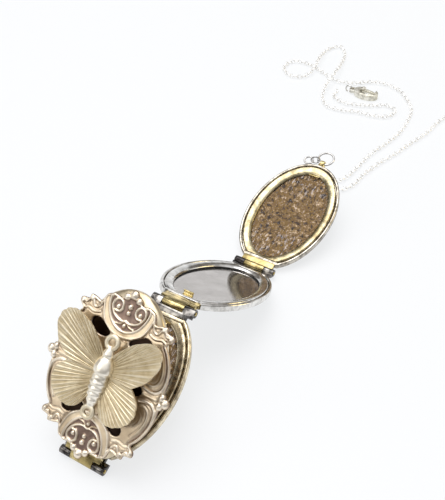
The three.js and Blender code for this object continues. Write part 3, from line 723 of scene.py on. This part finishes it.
bmesh.ops.translate(bm, vec=(0, 0, PLATE_BOTTOM), verts=bm.verts)
bmesh.ops.transform(bm, matrix=COVER, verts=bm.verts)
filigree = to_object(bm, "filigree_openwork", PLATE_SILVER, 60)
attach(filigree, "front_cover")
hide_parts("filigree_plate")


# ---- Butterfly ----
# One silver-plated casting, fixed on top of the plate by a short post: a bright ringed body, four wings scored with
# veins that fan out from it, and a plain loop at the head and the tail. The wings are lifted, the fore wings most.
WING_HOLLOWS = ((0.3, (0.3, 0.24, 0.17)), (0.62, (0.72, 0.66, 0.54)), (0.95, (1, 1, 1)))
WING = metal("butterfly_silver", (0.79, 0.72, 0.57), (0.69, 0.61, 0.46), 0.46, grain=700, hollows_and_shade=WING_HOLLOWS)
WING_LEVEL = PLATE_TOP + 1.35
WING_THICKNESS = 0.42
FORE_LIFT = math.radians(9)
HIND_LIFT = math.radians(4)
FORE_EDGE = [
    (4.4, 1.1), (6.3, 2.9), (8.4, 5.3), (9.7, 8.2), (9.75, 10.0), (8.8, 11.4), (6.8, 11.95), (3.9, 11.0),
    (1.9, 9.3), (0.6, 7.5),
]
HIND_EDGE = [
    (0.4, 7.4), (-1.1, 9.0), (-2.7, 9.7), (-4.4, 9.7), (-6.2, 8.7), (-7.5, 6.8), (-7.95, 5.0), (-7.5, 3.2),
    (-6.0, 1.9),
]
VEIN_DEPTH = 0.1


def wing(root_a, root_b, edge, veins, depth):
    """A wing between the body and its outer edge, scored with veins and scalloped at the rim."""
    across, along = 180, 26
    bm = bmesh.new()
    bmesh.ops.create_grid(bm, x_segments=across, y_segments=along, size=0.5)
    tint = bm.verts.layers.float.new("relief")
    rim = soft_line(edge, False, 12)
    for vert in bm.verts:
        u, v = vert.co.x + 0.5, vert.co.y + 0.5
        spot = u * (len(rim) - 1)
        low = min(int(spot), len(rim) - 2)
        outer = rim[low].lerp(rim[low + 1], spot - low)
        inner = Vector(root_a).lerp(Vector(root_b), u)
        phase = veins * (u + 0.035 * math.sin(8 * u + veins))
        from_vein = abs(phase - round(phase))
        from_branch = 0.5 - from_vein
        outer = inner + (outer - inner) * (0.985 + 0.018 * math.sin(math.pi * from_vein))
        flat = inner.lerp(outer, v)
        fade = min(1, v * 4) * min(1, (1 - v) * 5 + 0.35)
        far = max(0, min(1, (v - 0.42 - 0.14 * math.sin(5 * math.floor(phase))) * 4))
        ridge = math.exp(-((from_vein / 0.07) ** 2)) + 0.8 * far * math.exp(-((from_branch / 0.07) ** 2))
        groove = math.exp(-(((from_vein - 0.16) / 0.07) ** 2))
        groove += 0.8 * far * math.exp(-(((from_branch - 0.16) / 0.07) ** 2))
        ripple = 0.25 * noise.noise(Vector((flat.x * 1.3, flat.y * 1.3, veins)))
        vert.co = (flat.x, flat.y, depth * fade * (ridge - 0.6 * groove + ripple) - 0.55 * (1 - v) ** 2)
        vert[tint] = min(1, max(0, 0.62 + fade * (0.2 * ridge - 0.18 * groove + 0.4 * ripple) - 0.2 * (1 - v) ** 3))
    bmesh.ops.solidify(bm, geom=bm.verts[:] + bm.edges[:] + bm.faces[:], thickness=WING_THICKNESS)
    bmesh.ops.remove_doubles(bm, verts=bm.verts, dist=1e-5)
    return bm


def merge_into(target, bm, matrix=None):
    """Moves a part into the casting, turned right side out if the matrix mirrors it."""
    if matrix is not None:
        bmesh.ops.transform(bm, matrix=matrix, verts=bm.verts)
        if matrix.determinant() < 0:
            bmesh.ops.reverse_faces(bm, faces=bm.faces)
    spare = bpy.data.meshes.new("spare")
    bm.to_mesh(spare)
    bm.free()
    target.from_mesh(spare)
    bpy.data.meshes.remove(spare)


butterfly = bmesh.new()
butterfly.verts.layers.float.new("relief")
for side in (1, -1):
    mirror = Matrix.Diagonal((1, side, 1, 1))
    for edge, veins, lift, roots in (
        (FORE_EDGE, 9, FORE_LIFT, ((3.4, 0.9), (0.2, 0.9))),
        (HIND_EDGE, 8, HIND_LIFT, ((0.3, 0.9), (-3.4, 0.8))),
    ):
        made = wing(*roots, edge, veins, VEIN_DEPTH)
        bmesh.ops.recalc_face_normals(made, faces=made.faces)
        seat = Matrix.Translation((0, 0, WING_LEVEL + 0.3)) @ mirror @ Matrix.Rotation(lift, 4, "X")
        merge_into(butterfly, made, seat)


BODY_SILVER = metal("rubbed_body", (0.97, 0.92, 0.82), (0.88, 0.82, 0.7), 0.33, grain=700, patina=0.15)
BODY_HALF_SIZE = (6.3, 1.8, 1.45)
BODY_MIDDLE = (-0.3, 0, PLATE_TOP + 1.5)
# A long rounded body with a ringed abdomen towards the tail and a full thorax behind the head
bm = bmesh.new()
bmesh.ops.create_uvsphere(bm, u_segments=40, v_segments=90, radius=1, matrix=Matrix.Rotation(math.pi / 2, 4, "Y"))
for vert in bm.verts:
    x = vert.co.x
    ringed = 0.07 * math.cos(34 * x) * min(1, max(0, (0.25 - x) * 6))
    thorax = 0.2 * math.exp(-(((x - 0.3) / 0.2) ** 2))
    neck = -0.24 * math.exp(-(((x - 0.62) / 0.06) ** 2))
    waist = -0.14 * math.exp(-(((x - 0.02) / 0.07) ** 2))
    swell = 1 + ringed + thorax + neck + waist
    vert.co.y *= swell
    vert.co.z *= swell
bmesh.ops.scale(bm, vec=BODY_HALF_SIZE, verts=bm.verts)
bmesh.ops.translate(bm, vec=BODY_MIDDLE, verts=bm.verts)
for vert in bm.verts:
    vert.co.z = max(vert.co.z, PLATE_TOP + 0.04)
bmesh.ops.transform(bm, matrix=COVER, verts=bm.verts)
insect_body = to_object(bm, "butterfly_body", BODY_SILVER, 50)
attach(insect_body, "front_cover")
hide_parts("butterfly")


def round_wire(radius, wire, sides, steps):
    """A closed ring of round wire in the XY plane."""
    bm = bmesh.new()
    bmesh.ops.create_circle(
        bm, segments=sides, radius=wire,
        matrix=Matrix.Translation((radius, 0, 0)) @ Matrix.Rotation(math.pi / 2, 4, "X"),
    )
    bmesh.ops.spin(
        bm, geom=bm.verts[:] + bm.edges[:], cent=(0, 0, 0), axis=(0, 0, 1),
        angle=2 * math.pi, steps=steps, use_merge=True,
    )
    bmesh.ops.recalc_face_normals(bm, faces=bm.faces)
    return bm


# The loops at the head and the tail: radius, wire's radius and place along the body
for radius, wire, reach in ((1.2, 0.5, 6.6), (1.1, 0.5, -7.3)):
    loop = round_wire(radius, wire, 14, 36)
    layer = loop.verts.layers.float.new("relief")
    for vert in loop.verts:
        vert[layer] = 0.8
    bmesh.ops.translate(loop, vec=(reach, 0, WING_LEVEL + 0.2), verts=loop.verts)
    merge_into(butterfly, loop)

# The short post that carries the casting over the plate
post = bmesh.new()
bmesh.ops.create_cone(
    post, cap_ends=True, segments=24, radius1=1.2, radius2=1.0, depth=1.2,
    matrix=Matrix.Translation((0, 0, PLATE_TOP + 0.65)),
)
merge_into(butterfly, post)
bmesh.ops.transform(butterfly, matrix=COVER, verts=butterfly.verts)
insect = to_object(butterfly, "butterfly_casting", WING, 50)
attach(insect, "front_cover")
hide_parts("butterfly")


# ---- Jump rings ----
# Rings of drawn silver wire, each closed by hand: the large one in the bail, a link, and the small one that the
# chain runs through.
EYE_REACH = 17.9
EYE_LEVEL = -0.9
LARGE_RING = 2.05
LINK_PLACE = (18.66, 2.38, EYE_LEVEL)
LINK_HEADING = math.atan2(0.54, 1.19)
SMALL_RING_PLACE = (EYE_REACH, 4, EYE_LEVEL)
UPRIGHT = Matrix.Rotation(math.pi / 2, 4, "Y")
RING_SILVER = metal("ring_silver", (0.56, 0.55, 0.54), (0.4, 0.39, 0.38), 0.2, patina=0.3)


def wire_ring(name, node, place, radius, wire, material, body):
    """A ring of round wire, in the XY plane of the place that is given."""
    bm = round_wire(radius, wire, 16, 56)
    bmesh.ops.transform(bm, matrix=place, verts=bm.verts)
    made = to_object(bm, name, material, 60)
    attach(made, body)
    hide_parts(node)
    return made


wire_ring(
    "large_ring", "large_jump_ring", PLACE["d"] @ Matrix.Translation((EYE_REACH + LARGE_RING, 0, EYE_LEVEL)),
    LARGE_RING, 0.27, RING_SILVER, "jump_rings",
)
wire_ring(
    "tie_link", "connecting_link",
    PLACE["d"] @ Matrix.Translation(LINK_PLACE) @ Matrix.Rotation(LINK_HEADING, 4, "Z") @ UPRIGHT,
    1.17, 0.18, RING_SILVER, "jump_rings",
)
wire_ring(
    "small_ring", "small_jump_ring", PLACE["d"] @ Matrix.Translation(SMALL_RING_PLACE),
    1.15, 0.22, RING_SILVER, "jump_rings",
)


# ---- Clasp and end ring ----
# A small lobster clasp of cast silver, with its lever, pin and ring, and a plain wire ring. The cast pieces have
# their edges tumbled round.
CLASP_SILVER = metal("clasp_silver", (0.9, 0.88, 0.8), (0.68, 0.65, 0.54), 0.42, patina=0.3)
clasp_hook = tumbled("clasp_body", "clasp_hook", CLASP_SILVER, 0.22)
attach(clasp_hook, "back_cover")
thumb_lever = tumbled("clasp_lever", "clasp_thumb_lever", CLASP_SILVER, 0.12)
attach(thumb_lever, "clasp_lever")
rivet = tumbled("clasp_pin", "clasp_rivet", SILVER, 0.05)
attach(rivet, "back_cover")
tie_ring = wire_ring(
    "clasp_tie_ring", "clasp_ring", Matrix.Translation(middle_of("clasp_ring")) @ UPRIGHT @ Matrix.Scale(MM, 4),
    1.15, 0.22, POLISHED, "back_cover",
)
loop_ring = wire_ring(
    "chain_loop_ring", "chain_end_ring", Matrix.Translation(middle_of("chain_end_ring")) @ Matrix.Scale(MM, 4),
    1.6, 0.3, POLISHED, "back_cover",
)


# ---- Chain ----
# A fine trace chain of soldered oval links. Two lengths leave the small ring on the bail, drop to the table
# behind the back cover and lie loose: one in a heap that ends in the clasp, and one that ends in a plain ring.
PALE = metal("chain_silver", (0.97, 0.965, 0.95), (0.88, 0.87, 0.85), 0.48, patina=0.08)
CHAIN_WIDTH = 1.4
LINK_LENGTH = 1.95
LINK_WIRE = 0.24
LINK_PITCH = 1.28
# The two routes, in millimetres from the front hinge's pin. LEVEL is the middle of a link that lies on the table
LEVEL = 0.75
CLASP_SIDE = [
    (100.2, 5, 9), (100.2, 5.1, 6), (100.4, 5.2, 3), (101.6, 5, 1.1), (104, 3.4, LEVEL),
    (105.8, 1, LEVEL), (107.4, -1.2, LEVEL), (110.5, -2.5, LEVEL), (116.5, -3, LEVEL),
    (124, -3.5, LEVEL), (131, -5, LEVEL), (138, -6, LEVEL), (145.5, -5.5, LEVEL),
    (152, -4, LEVEL), (157, -0.5, LEVEL), (161, 4, LEVEL), (162.5, 9.5, LEVEL),
    (161, 14, LEVEL), (157.5, 18.5, LEVEL), (156.5, 24, LEVEL), (159, 30, LEVEL),
    (161.5, 36, LEVEL), (161, 41.5, LEVEL), (156, 42.5, LEVEL), (152, 38.5, LEVEL),
    (153.5, 34, LEVEL), (159, 33, 1.5), (163.5, 34, 2.1), (168, 35, 1.5), (174, 35.5, LEVEL),
    (178, 33, LEVEL), (174.5, 29.5, LEVEL), (165.5, 26.5, 1.6), (157, 25, 2.5), (150.5, 24.5, 1.6),
    (144.5, 22.5, LEVEL), (141, 19, LEVEL), (141, 14.5, LEVEL), (142.5, 9.5, LEVEL),
    (143, 4.5, LEVEL), (145, 0.5, LEVEL), (149, 0, LEVEL), (150.5, 3.5, LEVEL),
    (148, 7.5, LEVEL), (146, 12, LEVEL), (145.5, 16.5, LEVEL), (147.5, 20, LEVEL),
    (151, 20.6, LEVEL),
]
RING_SIDE = [
    (100.6, 3.4, 8.2), (100.7, 3.3, 5), (101.1, 2.6, 2.2), (102, 1, 0.95), (103, -1, LEVEL),
    (104.2, -3.6, LEVEL), (107.5, -5.5, LEVEL), (114, -6, LEVEL), (121.5, -7.5, LEVEL),
    (128, -9.5, LEVEL), (135, -11, LEVEL), (142, -12.8, LEVEL), (149, -13.5, LEVEL),
    (156, -15, LEVEL), (162, -18.5, LEVEL), (164.5, -24.5, LEVEL), (161.5, -30, LEVEL),
    (155, -31.5, LEVEL), (148, -29.5, LEVEL), (141, -29, LEVEL), (135.5, -32.5, LEVEL),
    (135, -38.5, LEVEL), (140, -42, LEVEL), (147, -41, LEVEL), (154, -41.5, LEVEL),
    (160, -43.5, LEVEL),
]


def from_first_axis(point):
    return Vector(point) * MM + Vector((FRONT_AXIS.x, 0, 0))


def smooth_course(points, steps=14):
    """A centripetal curve through the points, as short straight steps."""
    given = [from_first_axis(p) for p in points]
    ends = [2 * given[0] - given[1], *given, 2 * given[-1] - given[-2]]
    course = []
    for a, b, c, d in zip(ends, ends[1:], ends[2:], ends[3:]):
        gaps = [max((q - p).length, 1e-9) ** 0.5 for p, q in ((a, b), (b, c), (c, d))]
        start = ((b - a) / gaps[0] - (c - a) / (gaps[0] + gaps[1]) + (c - b) / gaps[1]) * gaps[1]
        stop = ((c - b) / gaps[1] - (d - b) / (gaps[1] + gaps[2]) + (d - c) / gaps[2]) * gaps[1]
        for step in range(steps):
            t = step / steps
            course.append(
                b * (2 * t**3 - 3 * t**2 + 1) + start * (t**3 - 2 * t**2 + t)
                + c * (3 * t**2 - 2 * t**3) + stop * (t**3 - t**2)
            )
    course.append(given[-1])
    return course


def walk(course, pitch):
    """Points and directions along a course, a pitch apart."""
    travelled, wanted, found = 0.0, pitch / 2, []
    for p, q in zip(course, course[1:]):
        leg = (q - p).length
        while leg > 0 and travelled + leg >= wanted:
            found.append((p.lerp(q, (wanted - travelled) / leg), (q - p).normalized()))
            wanted += pitch
        travelled += leg
    return found


def one_link():
    """An oval link of stout wire, long in X and lying in the XY plane."""
    bm = round_wire(CHAIN_WIDTH / 2 - LINK_WIRE / 2, LINK_WIRE / 2 * 1.15, 6, 10)
    bmesh.ops.scale(bm, vec=(LINK_LENGTH / CHAIN_WIDTH, 0.9, 1.1), verts=bm.verts)
    mesh = bpy.data.meshes.new("link")
    bm.to_mesh(mesh)
    bm.free()
    return mesh


link_mesh = one_link()


def chain_piece(name, points, node):
    course = smooth_course(points)
    bm = bmesh.new()
    for count, (place, along) in enumerate(walk(course, LINK_PITCH * MM)):
        first = len(bm.verts)
        bm.from_mesh(link_mesh)
        bm.verts.ensure_lookup_table()
        roll = math.radians(45 if count % 2 else -45) + 0.35 * noise.noise(Vector((count * 0.37, 0, 0)))
        turn = along.to_track_quat("X", "Z").to_matrix().to_4x4() @ Matrix.Rotation(roll, 4, "X")
        seat = Matrix.Translation(place) @ turn @ Matrix.Scale(MM, 4)
        bmesh.ops.transform(bm, matrix=seat, verts=bm.verts[first:])
    made = to_object(bm, name, PALE, 60)
    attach(made, "back_cover")
    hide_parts(node)


chain_piece(
    "chain_to_clasp", CLASP_SIDE, "chain_clasp_side",
)
chain_piece("chain_to_ring", RING_SIDE, "chain_ring_side")
